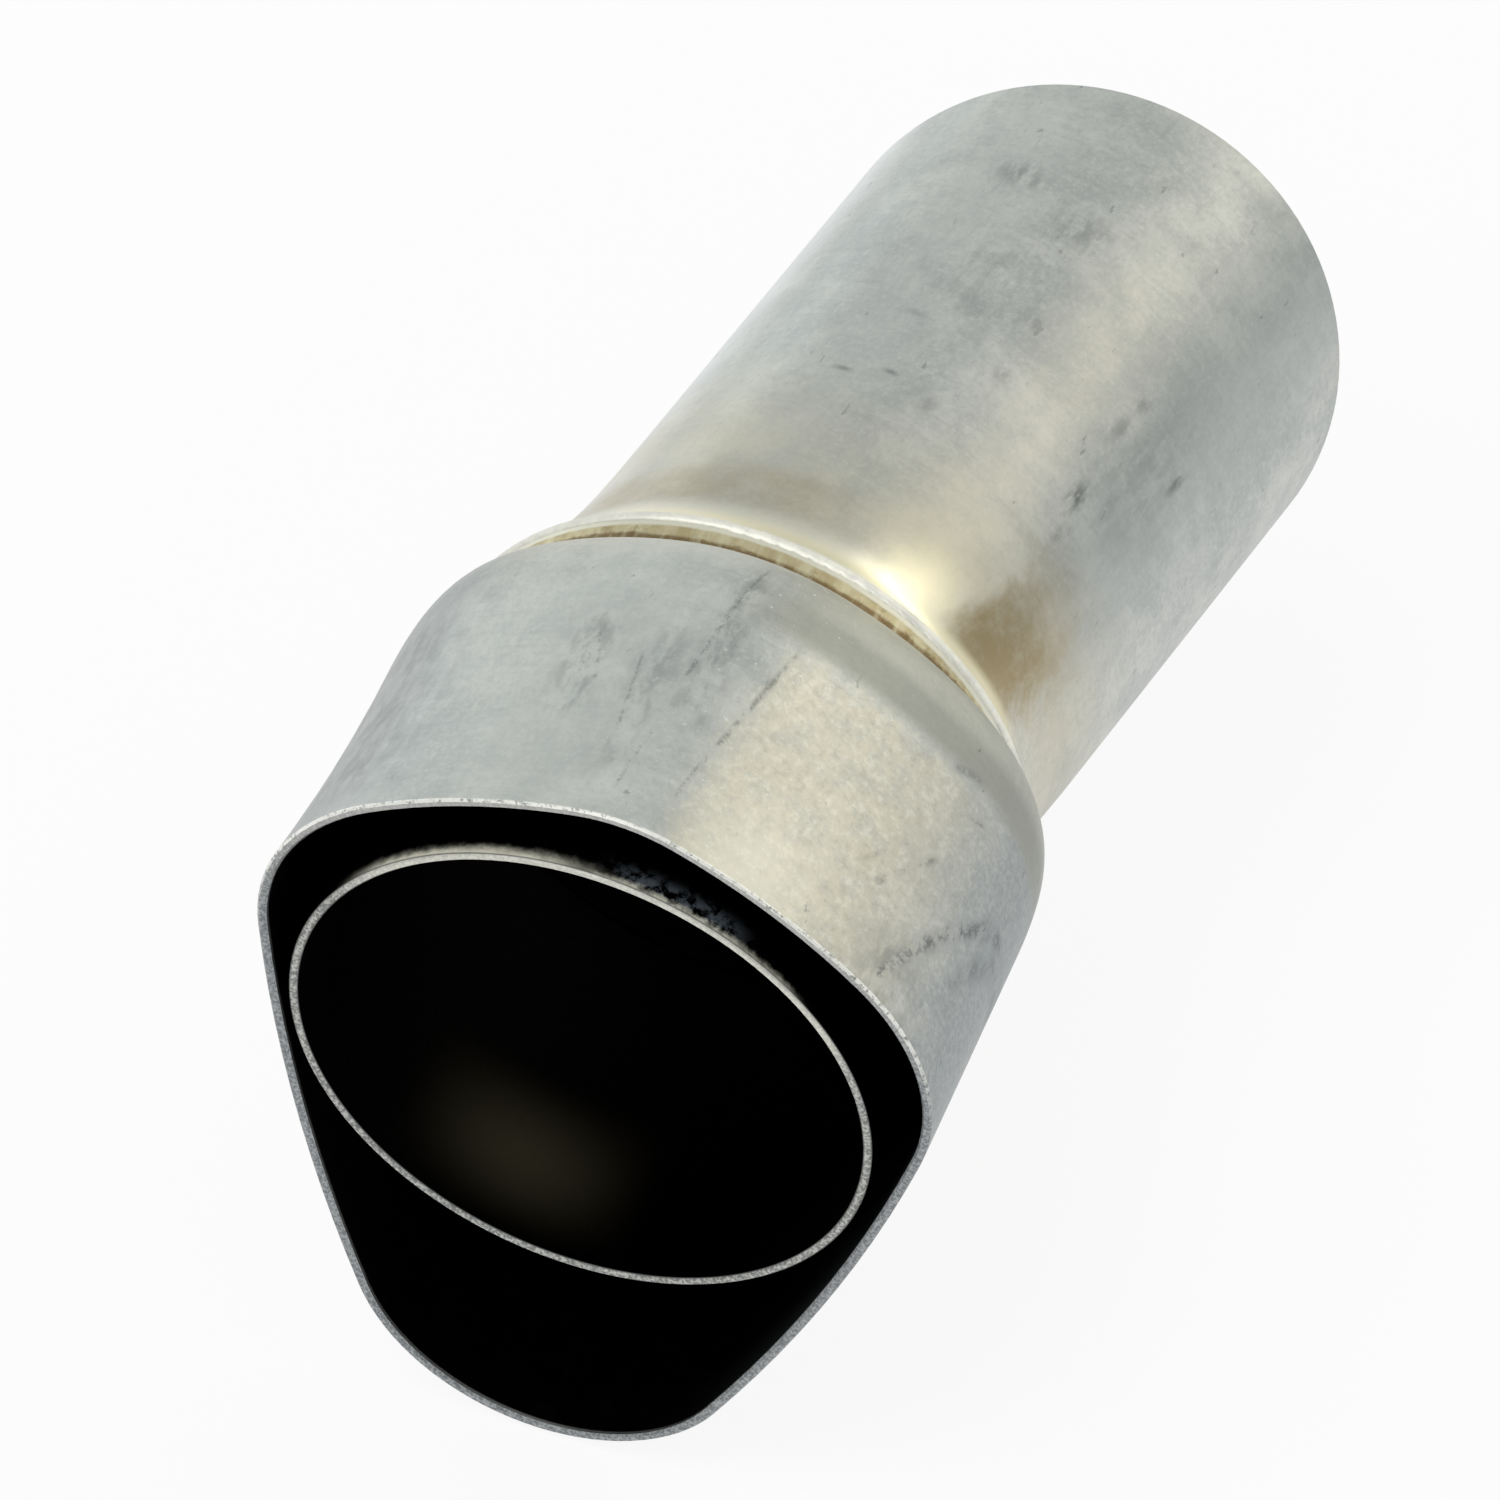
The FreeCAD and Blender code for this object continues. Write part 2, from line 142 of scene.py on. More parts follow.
# Rubbed patches on the jacket: mm across, half width, first and last mm from the mouth, fade, strength
JACKET_RUBS = (
    (5.5, 3.5, 16.0, 30.0, 7.0, 1.0),
    (1.0, 4.0, 8.0, 20.0, 6.0, 0.8),
    (-6.0, 4.0, 14.0, 22.0, 5.0, 1.0),
    (28.0, 4.0, 0.0, 5.0, 4.0, 1.0),
    (-24.0, 9.0, 6.0, 24.0, 6.0, 0.7),
)


def clear_scene():
    for thing in list(bpy.data.objects):
        bpy.data.objects.remove(thing, do_unlink=True)


def linear(red, green, blue):
    """The linear value of a colour that is written as it looks on a screen, 0 to 255."""
    values = []
    for part in (red, green, blue):
        share = part / 255.0
        if share <= 0.04045:
            values.append(share / 12.92)
        else:
            values.append(((share + 0.055) / 1.055) ** 2.4)
    return (values[0], values[1], values[2], 1.0)


class Finish:
    """One material and short calls that add its nodes."""

    def __init__(self, name):
        self.material = bpy.data.materials.new(name)
        self.material.use_nodes = True
        self.tree = self.material.node_tree
        self.tree.nodes.clear()
        self.output = self.add("ShaderNodeOutputMaterial")
        self.shader = self.add("ShaderNodeBsdfPrincipled")
        self.join(self.shader.outputs["BSDF"], self.output.inputs["Surface"])
        place = self.add("ShaderNodeTexCoord").outputs["Object"]
        self.point = self.vector("SCALE", place, scale=1.0 / MM)
        self.normal = self.add("ShaderNodeNewGeometry").outputs["Normal"]

    def add(self, kind):
        return self.tree.nodes.new(kind)

    def join(self, value, socket):
        if isinstance(value, bpy.types.NodeSocket):
            self.tree.links.new(value, socket)
        else:
            socket.default_value = value

    def vector(self, operation, first, second=None, scale=None):
        node = self.add("ShaderNodeVectorMath")
        node.operation = operation
        self.join(first, node.inputs[0])
        if second is not None:
            self.join(second, node.inputs[1])
        if scale is not None:
            self.join(scale, node.inputs["Scale"])
        if operation in ("DOT_PRODUCT", "LENGTH", "DISTANCE"):
            return node.outputs["Value"]
        return node.outputs["Vector"]

    def dot(self, place, direction):
        return self.vector("DOT_PRODUCT", place, tuple(direction))

    def math(self, operation, first, second=0.0, third=0.0, clamp=False):
        node = self.add("ShaderNodeMath")
        node.operation = operation
        node.use_clamp = clamp
        self.join(first, node.inputs[0])
        self.join(second, node.inputs[1])
        self.join(third, node.inputs[2])
        return node.outputs[0]

    def times(self, *values):
        result = values[0]
        for value in values[1:]:
            result = self.math("MULTIPLY", result, value)
        return result

    def plus(self, *values):
        result = values[0]
        for value in values[1:]:
            result = self.math("ADD", result, value)
        return result

    def most(self, *values):
        result = values[0]
        for value in values[1:]:
            result = self.math("MAXIMUM", result, value)
        return result

    def less(self, value):
        return self.math("SUBTRACT", 1.0, value)

    def rise(self, value, low, high, bottom=0.0, top=1.0):
        """Goes smoothly from bottom to top while value goes from low to high."""
        node = self.add("ShaderNodeMapRange")
        node.interpolation_type = "SMOOTHSTEP"
        self.join(value, node.inputs["Value"])
        node.inputs["From Min"].default_value = low
        node.inputs["From Max"].default_value = high
        node.inputs["To Min"].default_value = bottom
        node.inputs["To Max"].default_value = top
        return node.outputs["Result"]

    def band(self, value, low, high, soft):
        """One between low and high, fading to nothing over soft on each side."""
        first = self.rise(value, low - soft, low)
        last = self.rise(value, high, high + soft, 1.0, 0.0)
        return self.times(first, last)

    def bell(self, value, middle, width):
        """One at the middle, falling to nothing a width away on each side."""
        away = self.math("ABSOLUTE", self.math("SUBTRACT", value, middle))
        return self.rise(away, 0.0, width, 1.0, 0.0)

    def join_values(self, first, second, third):
        node = self.add("ShaderNodeCombineXYZ")
        self.join(first, node.inputs[0])
        self.join(second, node.inputs[1])
        self.join(third, node.inputs[2])
        return node.outputs[0]

    def noise(self, place, scale, detail=3.0, roughness=0.55, distortion=0.0):
        node = self.add("ShaderNodeTexNoise")
        self.join(place, node.inputs["Vector"])
        node.inputs["Scale"].default_value = scale
        node.inputs["Detail"].default_value = detail
        node.inputs["Roughness"].default_value = roughness
        node.inputs["Distortion"].default_value = distortion
        return node.outputs["Fac"]

    def blend(self, share, first, second, kind="MIX"):
        node = self.add("ShaderNodeMix")
        node.data_type = "RGBA"
        node.blend_type = kind
        self.join(share, node.inputs["Factor"])
        self.join(first, node.inputs["A"])
        self.join(second, node.inputs["B"])
        return node.outputs["Result"]

    def paint(self, base, share, colour):
        """The base with a colour laid over it where the share is more than nothing."""
        return self.blend(share, base, linear(*colour))

    def between(self, share, first, second):
        """A colour between two others."""
        return self.blend(share, linear(*first), linear(*second))

    def bump(self, height, distance, strength=1.0, below=None):
        node = self.add("ShaderNodeBump")
        node.inputs["Strength"].default_value = strength
        node.inputs["Distance"].default_value = distance * MM
        self.join(height, node.inputs["Height"])
        if below is not None:
            self.join(below, node.inputs["Normal"])
        return node.outputs["Normal"]

    def uneven(self, height, wave_scale):
        """The normal of a sheet with shallow waves in it and a fine texture on it."""
        wave = self.noise(self.point, wave_scale, 2.0, 0.5)
        return self.bump(height, 0.04, 0.5, self.bump(wave, 0.9, 0.45))

    def give(self, **sockets):
        for name, value in sockets.items():
            self.join(value, self.shader.inputs[name.replace("_", " ")])

    # Places on the part

    def round_axis(self, start, axis, side, up=Vector((0.0, 0.0, 1.0))):
        """Where a point lies from an axis.

        Gives the distance along it, the distance from it, the angle about it from side towards up,
        and the two distances that way.
        """
        local = self.vector("SUBTRACT", self.point, tuple(start))
        along = self.dot(local, axis)
        across = self.dot(local, side)
        high = self.dot(local, up)
        square = self.plus(self.times(across, across), self.times(high, high))
        away = self.math("SQRT", square)
        angle = self.math("ARCTAN2", high, across)
        return along, away, angle, across, high

    def streaks(self, along, angle, radius, fineness, stretch, seed):
        """Noise drawn out along an axis: fineness per mm round it, stretch times longer along it.

        A stretch below one draws it out round the axis.
        """
        side = self.times(self.math("COSINE", angle), radius)
        top = self.times(self.math("SINE", angle), radius)
        run = self.times(along, 1.0 / stretch)
        place = self.join_values(side, top, self.plus(run, seed))
        return self.noise(place, fineness, 4.0, 0.62)

    def worn_steel(self, along, angle, radius, seed):
        """The bare grey of the brushed sheet, with the noises that its other marks are made from."""
        steel = SimpleNamespace(
            brush=self.streaks(along, angle, radius, 1.2, 9.0, seed),
            wipe=self.streaks(along, angle, radius, 0.16, 0.14, seed + 4.0),
            cloud=self.noise(self.point, 0.11, 5.0, 0.62, 0.5),
            mottle=self.noise(self.point, 0.33, 6.0, 0.78),
            grain=self.noise(self.point, 1.7, 3.0, 0.75),
            dirt=self.streaks(along, angle, radius, 0.75, 2.6, seed + 8.0),
        )
        layers = (
            (steel.mottle, 0.5, 0.66, 0.32, (168, 172, 170)),
            (steel.mottle, 0.46, 0.32, 0.32, (223, 223, 216)),
            (steel.wipe, 0.52, 0.72, 0.24, (160, 165, 164)),
            (steel.wipe, 0.44, 0.3, 0.2, (224, 226, 222)),
            (steel.brush, 0.52, 0.76, 0.18, (158, 163, 161)),
            (steel.grain, 0.5, 0.68, 0.27, (228, 228, 221)),
            (steel.grain, 0.48, 0.32, 0.22, (150, 154, 152)),
        )
        base = self.between(self.rise(steel.cloud, 0.36, 0.66), (185, 189, 186), (206, 208, 203))
        for noise, low, high, share, colour in layers:
            base = self.paint(base, self.times(self.rise(noise, low, high), share), colour)
        return base, steel


def stroke(finish, across, along, start, end, width):
    """A scratch: one on a line from start to end in the plane of two coordinates, fading at its ends."""
    run_across = end[0] - start[0]
    run_along = end[1] - start[1]
    length = math.hypot(run_across, run_along)
    unit = (run_across / length, run_along / length)
    first = finish.math("SUBTRACT", across, start[0])
    second = finish.math("SUBTRACT", along, start[1])
    on = finish.plus(finish.times(first, unit[0]), finish.times(second, unit[1]))
    off = finish.math("SUBTRACT", finish.times(first, unit[1]), finish.times(second, unit[0]))
    fade = STROKE_FADE * length
    inside = finish.band(on, fade, length - fade, fade)
    return finish.times(inside, finish.bell(off, 0.0, width))


def strokes(finish, across, along, marks):
    """Several scratches, each place as strong as the strongest there."""
    drawn = []
    for start, end, width, strength in marks:
        drawn.append(finish.times(stroke(finish, across, along, start, end, width), strength))
    return finish.most(*drawn)


def blots(finish, angle, along, marks):
    """Several soft patches, each round an angle about an axis and a distance along it."""
    drawn = []
    for degrees, distance, half_angle, half_length, strength in marks:
        turned = finish.bell(angle, math.radians(degrees), math.radians(half_angle))
        drawn.append(finish.times(turned, finish.bell(along, distance, half_length), strength))
    return finish.most(*drawn)


def tube_wear_and_painted_light(f, base, steel, along, angle):
    """The tube's smudges, scores and specks, with painted light and shade: a warm painted highlight band
    along the glare, painted shade on the right side and next to the left edge, painted light on the upper
    left and a painted reflection along the left edge.
    """
    # Painted highlight: a warm band along the lamps' glare, fading towards the free end.
    painted_glare_strip = f.times(f.bell(angle, GLARE_ANGLE, math.radians(22.0)), f.rise(along, 34.0, 6.0, 0.3, 1.0))
    base = f.paint(base, f.times(painted_glare_strip, f.rise(steel.mottle, 0.35, 0.6, 0.5, 0.3)), (214, 207, 190))
    # Painted shade: the right side greyer and darker, except near the joint.
    painted_shade = f.times(f.bell(angle, math.radians(28.0), math.radians(32.0)), f.rise(along, -24.0, -10.0))
    base = f.paint(base, f.times(painted_shade, 0.6), (166, 171, 169))
    # Painted light: the upper left side paler.
    painted_left_light = f.bell(angle, math.radians(104.0), math.radians(20.0))
    base = f.paint(base, f.times(painted_left_light, 0.3), (216, 221, 219))
    # Painted shade in a band next to the left edge, then a painted reflection of the pale room along the
    # left edge itself.
    shade = f.bell(angle, math.radians(127.0), math.radians(14.0))
    base = f.paint(base, f.times(shade, 0.4), (172, 178, 175))
    edge_light = f.times(f.rise(angle, 2.25, 2.6), f.rise(angle, 3.14, 2.9))
    base = f.paint(base, f.times(edge_light, 0.6), (238, 243, 243))
    smudges = f.times(blots(f, angle, along, TUBE_SMUDGES), f.rise(steel.dirt, 0.4, 0.6))
    scores = blots(f, angle, along, TUBE_SCORES)
    specks = f.times(f.rise(steel.dirt, 0.66, 0.72), 0.8)
    return f.paint(base, f.times(f.most(smudges, scores, specks), 0.5), (92, 97, 96))


def tube_tint_and_highlights(f, base, steel, along, angle, lip_run):
    """Heat tint near the joint: straw, a brown ring and gold next to the glare, a paler cove by the lip,
    and painted pale yellow highlights where the glare meets the cove and along the lip.
    """
    turned = f.math("ABSOLUTE", angle)
    straw = f.times(f.rise(along, -3.0, -20.0), f.rise(steel.cloud, 0.25, 0.65, 0.55, 1.0))
    base = f.paint(base, f.times(straw, 0.42), (210, 201, 172))
    ring = f.band(lip_run, LIP_START + 7.5, LIP_START + 10.0, 3.0)
    ring = f.times(ring, f.rise(turned, 1.25, 1.7, 0.2, 1.0), f.rise(steel.mottle, 0.3, 0.6, 0.5, 0.9))
    base = f.paint(base, f.times(ring, 0.42), (166, 150, 112))
    wander = f.math("SUBTRACT", steel.cloud, 0.5)
    right_side = f.plus(angle, f.times(wander, 0.8))
    right_side = f.band(right_side, math.radians(28.0), math.radians(42.0), math.radians(12.0))
    under_side = f.bell(angle, math.radians(-80.0), math.radians(75.0))
    near = f.rise(f.plus(along, f.times(wander, 16.0)), -7.0, -21.0)
    brown = f.times(near, f.most(right_side, f.times(under_side, 0.6)))
    brown = f.times(brown, f.rise(steel.mottle, 0.3, 0.6, 0.7, 1.0))
    base = f.paint(base, f.times(brown, 0.8), (152, 132, 88))
    cove = f.times(f.rise(lip_run, LIP_START + 6.5, LIP_START + 3.0), f.rise(turned, 0.75, 1.05))
    base = f.paint(base, f.times(cove, 0.8), (240, 237, 218))
    # Painted highlight: pale yellow where the glare meets the cove, brightest by the lip.
    painted_cream_highlight = f.times(
        f.bell(angle, GLARE_ANGLE, math.radians(15.0)),
        f.rise(lip_run, LIP_START + 15.0, LIP_START + 3.0),
    )
    base = f.paint(base, f.times(painted_cream_highlight, 0.8), (250, 242, 208))
    # Painted highlight: a pale yellow line along the lip, except at the right side.
    painted_lip_highlight = f.times(f.rise(lip_run, LIP_START + 4.4, LIP_START + 2.8), f.rise(turned, 0.2, 0.55))
    return f.paint(base, f.times(painted_lip_highlight, 0.75), (238, 232, 200))


def tube_finish():
    f = Finish("brushed_steel_tube")
    along, away, angle, _, _ = f.round_axis(
        Vector((0.0, 0.0, 0.0)), Vector((0.0, 1.0, 0.0)), Vector((1.0, 0.0, 0.0))
    )
    tip, tip_away, _, _, tip_high = f.round_axis(MOUTH, TIP_AXIS, TIP_SIDE)
    # The lip leans, so its own distance grows towards the top
    lip_run = f.math("SUBTRACT", tip, f.times(tip_high, math.tan(LIP_LEAN)))
    outward = f.dot(f.normal, (0.0, 1.0, 0.0))
    facing = f.plus(
        f.times(f.math("COSINE", angle), f.dot(f.normal, (1.0, 0.0, 0.0))),
        f.times(f.math("SINE", angle), f.dot(f.normal, (0.0, 0.0, 1.0))),
    )
    bore = f.times(f.rise(facing, -0.25, -0.5), f.rise(away, 27.5, 26.9))
    ledge = f.times(f.rise(outward, -0.3, -0.6), f.rise(tip_away, PIPE_RADIUS - 0.3, PIPE_RADIUS - 0.5))
    inside = f.most(bore, ledge)
    lip = f.rise(lip_run, LIP_START + 2.4, LIP_START + 1.7)
    cut = f.times(f.rise(outward, 0.75, 0.86), f.rise(along, 10.0, 16.0))

    base, steel = f.worn_steel(along, angle, TUBE_RADIUS, 3.0)
    base = tube_wear_and_painted_light(f, base, steel, along, angle)
    base = tube_tint_and_highlights(f, base, steel, along, angle, lip_run)
    pale = f.between(f.rise(steel.mottle, 0.4, 0.6), (244, 243, 234), (232, 231, 224))
    base = f.blend(lip, base, pale)
    # Soot inside, thinner towards the cut end
    soot = f.between(f.rise(steel.mottle, 0.35, 0.7), (7, 7, 7), (20, 19, 17))
    dust = f.between(steel.cloud, (66, 64, 60), (96, 93, 87))
    base = f.blend(inside, base, f.blend(f.rise(along, -5.0, 28.0), soot, dust))
    base = f.paint(base, cut, (196, 197, 194))

    rough = f.plus(0.29, f.times(steel.cloud, 0.1), f.times(steel.brush, 0.06), f.times(steel.mottle, 0.08))
    rough = f.math("SUBTRACT", rough, f.times(f.rise(along, -17.0, -23.0), 0.07))
    rough = f.plus(rough, f.times(lip, 0.3), f.times(inside, 0.3))
    height = f.plus(f.times(steel.brush, 0.25), f.times(steel.grain, 0.14))
    height = f.plus(height, f.times(steel.wipe, 0.2), f.times(steel.dirt, 0.1))
    f.give(Base_Color=base, Roughness=rough, Normal=f.uneven(height, 0.08), Metallic=1.0)
    return f.material


def jacket_tones(f, base, steel, tip, angle, across, high):
    """Painted light and shade on the jacket: a warm painted sheen right of the mouth's top corner, a
    painted highlight by the mouth, painted shade low on the right, on the left and on the shoulder with its
    fold line, and a paler painted top.
    """
    ragged = f.math("SUBTRACT", steel.mottle, 0.5)
    speckle = f.noise(f.point, 0.85, 4.0, 0.7)
    edge = f.math("SUBTRACT", across, f.plus(7.0, f.times(tip, 0.13)))
    edge = f.plus(edge, f.times(ragged, 9.0))
    far_side = f.plus(angle, f.times(ragged, 0.5))
    ends = f.rise(f.plus(tip, f.times(ragged, 5.0)), 27.0, 24.0)
    # Painted reflection: a warm sheen with lighter and darker specks on the side right of the top corner.
    painted_flank_sheen = f.times(f.rise(edge, -1.0, 2.6), f.rise(far_side, 0.3, 0.85), ends)
    base = f.paint(base, f.times(painted_flank_sheen, f.rise(steel.mottle, 0.4, 0.6, 0.75, 0.45)), (218, 212, 192))
    base = f.paint(base, f.times(painted_flank_sheen, f.rise(speckle, 0.5, 0.66), 0.42), (236, 234, 222))
    base = f.paint(base, f.times(painted_flank_sheen, f.rise(speckle, 0.47, 0.34), 0.36), (186, 180, 170))
    # Painted highlight near the mouth on the upper right.
    front_light = f.times(f.bell(across, 15.0, 8.0), f.rise(tip, 12.0, 2.0))
    base = f.paint(base, f.times(front_light, 0.5), (240, 238, 222))
    # Painted shade: bluish grey low on the right side.
    painted_shade = f.times(f.rise(far_side, 0.75, 0.35), f.rise(angle, -1.2, -0.6), f.rise(tip, 36.0, 26.0))
    painted_shade_steel = f.between(f.rise(steel.grain, 0.4, 0.62), (139, 145, 147), (157, 162, 163))
    base = f.blend(f.times(painted_shade, 0.8), base, painted_shade_steel)
    # Painted light: the top paler across its middle.
    middle = f.times(f.bell(across, -5.0, 17.0), f.rise(high, 10.0, 20.0))
    base = f.paint(base, f.times(middle, 0.38), (224, 229, 225))
    # Painted shade: the left side darker.
    left_part = f.times(f.rise(across, -14.0, -25.0), f.rise(high, -20.0, 0.0))
    base = f.paint(base, f.times(left_part, 0.55), (168, 173, 174))
    # Painted shade: a darker shoulder at the back of the painted sheen, with a darker fold line along its
    # bend
    painted_shoulder_shade = f.times(f.rise(tip, 25.5, 28.0), f.rise(across, 4.0, 12.0), f.rise(angle, 0.0, 0.4))
    painted_crease_shade = f.times(painted_shoulder_shade, f.rise(tip, 32.5, 30.0))
    base = f.paint(base, f.times(painted_shoulder_shade, 0.6), (168, 168, 155))
    return f.paint(base, f.times(painted_crease_shade, 0.45), (144, 146, 139))


def jacket_marks(f, steel, tip, across, high):
    """How strong the scratches, the rubbed dirt and the specks are."""
    scratches = f.most(
        f.times(strokes(f, across, tip, JACKET_SCRATCHES), f.rise(high, -4.0, 4.0)),
        f.times(strokes(f, high, tip, LOW_SCRATCHES), f.rise(across, -2.0, 2.0)),
    )
    broken = f.plus(f.times(steel.dirt, 0.5), f.times(steel.grain, 0.5))
    scratches = f.times(scratches, f.rise(broken, 0.44, 0.58))
    smear = f.plus(f.times(steel.dirt, 0.75), f.times(steel.grain, 0.25))
    patches = [f.rise(high, -14.0, -40.0, 0.0, 0.45)]
    for middle, half_width, low, high_end, fade, strength in JACKET_RUBS:
        patch = f.times(f.bell(across, middle, half_width), f.band(tip, low, high_end, fade))
        patches.append(f.times(patch, strength))
    rubbed = f.times(f.most(*patches), f.rise(smear, 0.44, 0.6))
    specks = f.times(f.rise(steel.dirt, 0.67, 0.73), 0.8)
    return scratches, rubbed, specks


def jacket_finish():
    f = Finish("brushed_steel_jacket")
    tip, _, angle, across, high = f.round_axis(MOUTH, TIP_AXIS, TIP_SIDE)
    along, _, turn, _, _ = f.round_axis(JACKET_CENTRE, TIP_AXIS, TIP_SIDE)
    facing = f.plus(
        f.times(f.math("COSINE", turn), f.dot(f.normal, TIP_SIDE)),
        f.times(f.math("SINE", turn), f.dot(f.normal, (0.0, 0.0, 1.0))),
    )
    front = f.dot(f.normal, -TIP_AXIS)
    wall = f.times(f.rise(facing, -0.1, -0.35), f.rise(tip, 0.25, 0.6))
    under = f.times(f.rise(front, 0.2, 0.5), f.rise(tip, 3.0, 6.0))
    inside = f.most(wall, under)
    rim = f.rise(tip, 0.28, 0.16)

    base, steel = f.worn_steel(along, turn, 34.0, 5.0)
    base = jacket_tones(f, base, steel, tip, angle, across, high)
    scratches, rubbed, specks = jacket_marks(f, steel, tip, across, high)
    stain = f.most(f.times(scratches, 0.55), f.times(rubbed, 0.37), f.times(specks, 0.5))
    base = f.paint(base, stain, (86, 91, 92))
    # Painted highlights: bright specks across the upper side.
    shine = f.noise(f.point, 1.3, 2.0, 0.5)
    painted_glints = f.times(f.rise(shine, 0.68, 0.76), f.bell(across, 10.0, 16.0), 0.5)
    base = f.paint(base, painted_glints, (240, 240, 234))
    warm = f.times(f.rise(along, 31.0, 37.0), f.rise(steel.cloud, 0.3, 0.65, 0.5, 1.0))
    warm = f.times(warm, f.rise(angle, 0.75, 1.15, 0.35, 1.0))
    base = f.paint(base, f.times(warm, 0.3), (206, 202, 184))
    # Soot inside, with painted light towards the mouth on its right side
    soot = f.between(f.rise(steel.mottle, 0.4, 0.75), (3, 3, 3), (12, 12, 11))
    painted_mouth_light = f.times(f.rise(tip, 8.0, 0.5), f.rise(across, 6.0, 26.0))
    base = f.blend(inside, base, f.paint(soot, f.times(painted_mouth_light, 0.7), (46, 48, 50)))
    # The ground rim, painted lighter towards the top, with a painted highlight line along its broken outer
    # edge
    filed = f.noise(f.point, 3.2, 2.0, 0.6)
    ground = f.between(f.rise(filed, 0.4, 0.62), (122, 126, 129), (168, 171, 172))
    ground = f.paint(ground, f.times(f.rise(high, 8.0, 30.0), 0.5), (206, 205, 198))
    base = f.blend(rim, base, ground)
    # Painted highlight along the rim's outer edge at the top.
    painted_bevel_highlight = f.times(f.rise(tip, 0.36, 0.26), f.rise(facing, 0.25, 0.6), f.rise(high, 2.0, 24.0))
    base = f.paint(base, f.times(painted_bevel_highlight, f.rise(steel.grain, 0.38, 0.5)), (250, 250, 244))

    rough = f.plus(0.31, f.times(steel.cloud, 0.1), f.times(steel.brush, 0.06), f.times(steel.mottle, 0.1))
    rough = f.plus(rough, f.times(f.rise(tip, 25.0, 31.0), 0.12), f.times(inside, 0.3))
    height = f.plus(f.times(steel.brush, 0.25), f.times(steel.grain, 0.14))
    height = f.plus(height, f.times(steel.wipe, 0.2), f.times(scratches, -0.5))
    f.give(Base_Color=base, Roughness=rough, Normal=f.uneven(height, 0.06), Metallic=1.0)
    return f.material


def pipe_finish():
    f = Finish("brushed_steel_pipe")
    tip, away, angle, _, _ = f.round_axis(MOUTH, TIP_AXIS, TIP_SIDE)
    rim = f.rise(tip, 0.3, 0.15)
    inside = f.times(f.rise(away, PIPE_RADIUS - 0.3, PIPE_RADIUS - 0.5), f.less(rim))
    spots = f.noise(f.point, 0.9, 4.0, 0.7)
    filed = f.noise(f.point, 3.2, 2.0, 0.6)
    # Soot outside and in; a pale edge at the top left that is partly burnished and partly a painted
    # highlight, and painted light on a patch next to the rim right of it
    outer = f.between(f.rise(spots, 0.42, 0.6), (12, 12, 13), (4, 4, 4))
    # Painted light: a bluish grey patch next to the rim at the top right.
    painted_mouth_light = f.band(angle, math.radians(62.0), math.radians(78.0), math.radians(10.0))
    painted_mouth_light = f.times(painted_mouth_light, f.rise(tip, 3.4, 1.4), f.rise(spots, 0.6, 0.44))
    outer = f.paint(outer, painted_mouth_light, (80, 88, 96))
    ragged = f.plus(tip, f.times(f.math("SUBTRACT", spots, 0.5), 1.4))
    left_part = f.band(angle, math.radians(100.0), math.radians(128.0), math.radians(20.0))
    right_part = f.band(angle, math.radians(48.0), math.radians(84.0), math.radians(10.0))
    # Partly burnished and partly a painted highlight: a pale band along the rim at the top.
    burnished_edge_highlight = f.most(
        f.times(left_part, f.rise(ragged, 1.7, 0.2)),
        f.times(right_part, f.rise(ragged, 1.0, 0.1), 0.8),
    )
    outer = f.paint(outer, burnished_edge_highlight, (244, 241, 222))
    # Painted light: a warm glow deeper in the bore at the bottom.
    glow = f.times(f.bell(angle, math.radians(-110.0), math.radians(29.0)), f.bell(tip, 9.5, 9.5))
    base = f.blend(inside, outer, f.between(glow, (0, 0, 0), (80, 74, 58)))
    # The ground rim, with a painted highlight along the top
    bright = f.between(f.rise(filed, 0.4, 0.62), (132, 134, 132), (196, 197, 192))
    painted_top_highlight = f.band(angle, math.radians(35.0), math.radians(130.0), math.radians(20.0))
    bright = f.paint(bright, f.times(painted_top_highlight, 0.6), (236, 235, 224))
    middle = f.band(away, PIPE_RADIUS - 0.74, PIPE_RADIUS - 0.12, 0.1)
    base = f.blend(rim, base, f.blend(middle, linear(104, 104, 104), bright))

    rough = f.plus(0.4, f.times(spots, 0.2), f.times(inside, 0.15))
    normal = f.bump(f.plus(spots, filed), 0.05, 0.5)
    # Dust and soot make the metal less metallic at the pale edge and at the lit patch next to the rim
    dusty = f.times(f.most(burnished_edge_highlight, painted_mouth_light), f.less(rim), f.less(inside))
    metal = f.less(f.times(dusty, 0.9))
    f.give(Base_Color=base, Roughness=rough, Normal=normal, Metallic=metal)
    return f.material


